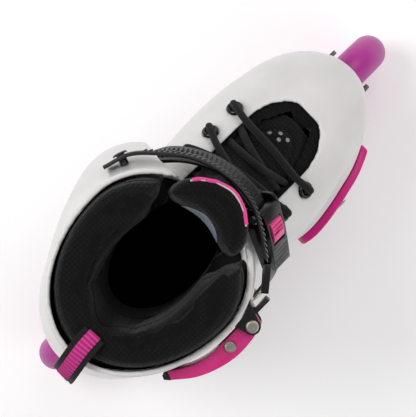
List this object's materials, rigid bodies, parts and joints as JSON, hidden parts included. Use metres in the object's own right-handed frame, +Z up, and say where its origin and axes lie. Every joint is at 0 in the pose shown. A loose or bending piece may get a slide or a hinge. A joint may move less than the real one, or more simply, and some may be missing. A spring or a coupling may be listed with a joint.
{
  "type": "inline skate",
  "caption": "Hard-shell inline skate with a hinged cuff, padded liner, lace, ratchet instep buckle, cuff lever and wheels in line in a frame.",
  "frame": {"origin": "on the ground under the middle of the wheelbase, on the skate's centre line", "axes": "+X to the toe, +Y to the inner (medial) side, +Z up"},
  "size_m": [0.3222, 0.1445, 0.3161],
  "materials": {
    "shell_plastic": "smooth moulded, satin gloss",
    "black_plastic": "moulded, semi gloss",
    "pink_plastic": "moulded, glossy",
    "slider_plastic": "moulded, satin",
    "wheel_urethane": "cast urethane, satin",
    "wheel_core": "moulded, satin",
    "bearing_steel": "ground steel",
    "steel": "plated steel",
    "frame_metal": "black anodised, satin",
    "liner_fabric": "padded mesh fabric",
    "footbed_foam": "foam with fabric face",
    "webbing": "ribbed webbing",
    "lace_cord": "round braided cord"
  },
  "bodies": {
    "boot": {"buckle_base": "black_plastic", "buckle_base_strap": "black_plastic", "buckle_pin": "steel", "buckle_strap_bolt": "steel", "cuff_bolt_inner": "steel", "cuff_bolt_outer": "steel", "eyelet_inner_1": "black_plastic", "eyelet_inner_2": "black_plastic", "eyelet_inner_3": "black_plastic", "eyelet_outer_1": "black_plastic", "eyelet_outer_2": "black_plastic", "eyelet_outer_3": "black_plastic", "footbed": "footbed_foam", "frame": "frame_metal", "frame_bolt_front": "steel", "frame_bolt_rear": "steel", "instep_ladder_strap": "black_plastic", "instep_strap_bolt": "steel", "lace": "lace_cord", "liner_lower": "liner_fabric", "shell": "shell_plastic", "side_slider": "slider_plastic", "slider_screw": "steel", "tongue": "liner_fabric", "wheel1_axle": "steel", "wheel2_axle": "steel", "wheel3_axle": "steel", "wheel4_axle": "steel"},
    "cuff": {"cuff": "shell_plastic", "liner_collar": "liner_fabric", "cuff_ladder_strap": "black_plastic", "cuff_strap_bolt": "steel", "cuff_catch": "black_plastic", "lever_bracket": "black_plastic", "lever_pivot_top": "steel", "lever_pivot_bottom": "steel", "pull_tab": "webbing"},
    "cuff_lever": {"cuff_lever": "pink_plastic", "link_pin": "steel"},
    "cuff_link": {"cuff_link": "black_plastic"},
    "buckle_lever": {"buckle_lever": "black_plastic"},
    "release_tab": {"buckle_release_tab": "pink_plastic"},
    "wheel1": {"wheel1_tyre": "wheel_urethane", "wheel1_hub": "wheel_core", "wheel1_bearing_inner": "bearing_steel", "wheel1_bearing_outer": "bearing_steel"},
    "wheel2": {"wheel2_tyre": "wheel_urethane", "wheel2_hub": "wheel_core", "wheel2_bearing_inner": "bearing_steel", "wheel2_bearing_outer": "bearing_steel"},
    "wheel3": {"wheel3_tyre": "wheel_urethane", "wheel3_hub": "wheel_core", "wheel3_bearing_inner": "bearing_steel", "wheel3_bearing_outer": "bearing_steel"},
    "wheel4": {"wheel4_tyre": "wheel_urethane", "wheel4_hub": "wheel_core", "wheel4_bearing_inner": "bearing_steel", "wheel4_bearing_outer": "bearing_steel"}
  },
  "joints": [
    {"name": "cuff_flex", "type": "hinge", "parent": "boot", "child": "cuff", "pos_m": [-0.05, 0, 0.168], "axis": [0, 1, 0], "range_deg": [0, 7.5]},
    {"name": "cuff_lever_swing", "type": "hinge", "parent": "cuff", "child": "cuff_lever", "pos_m": [-0.017, -0.065, 0.265], "axis": [0, 0, 1], "range_deg": [0, 100]},
    {"name": "cuff_link_swing", "type": "hinge", "parent": "cuff_lever", "child": "cuff_link", "pos_m": [-0.035, -0.065, 0.265], "axis": [0, 0, 1], "range_deg": [-70, 0]},
    {"name": "buckle_lever_lift", "type": "hinge", "parent": "boot", "child": "buckle_lever", "pos_m": [0.03202, -0.02263, 0.21044], "axis": [-0.7614, 0.0109, 0.6482], "range_deg": [0, 30]},
    {"name": "release_tab_press", "type": "hinge", "parent": "buckle_lever", "child": "release_tab", "pos_m": [0.02571, -0.04157, 0.20335], "axis": [0.7614, -0.0109, -0.6482], "range_deg": [0, 8], "stiffness_Nm_per_rad": 0.2},
    {"name": "wheel1_spin", "type": "hinge", "parent": "boot", "child": "wheel1", "pos_m": [0.1215, 0, 0.04], "axis": [0, 1, 0], "continuous": true},
    {"name": "wheel2_spin", "type": "hinge", "parent": "boot", "child": "wheel2", "pos_m": [0.0405, 0, 0.04], "axis": [0, 1, 0], "continuous": true},
    {"name": "wheel3_spin", "type": "hinge", "parent": "boot", "child": "wheel3", "pos_m": [-0.0405, 0, 0.04], "axis": [0, 1, 0], "continuous": true},
    {"name": "wheel4_spin", "type": "hinge", "parent": "boot", "child": "wheel4", "pos_m": [-0.1215, 0, 0.04], "axis": [0, 1, 0], "continuous": true}
  ],
  "couplings": [
    {"joint": "cuff_link_swing", "follows": "cuff_lever_swing", "ratio": -0.7}
  ]
}
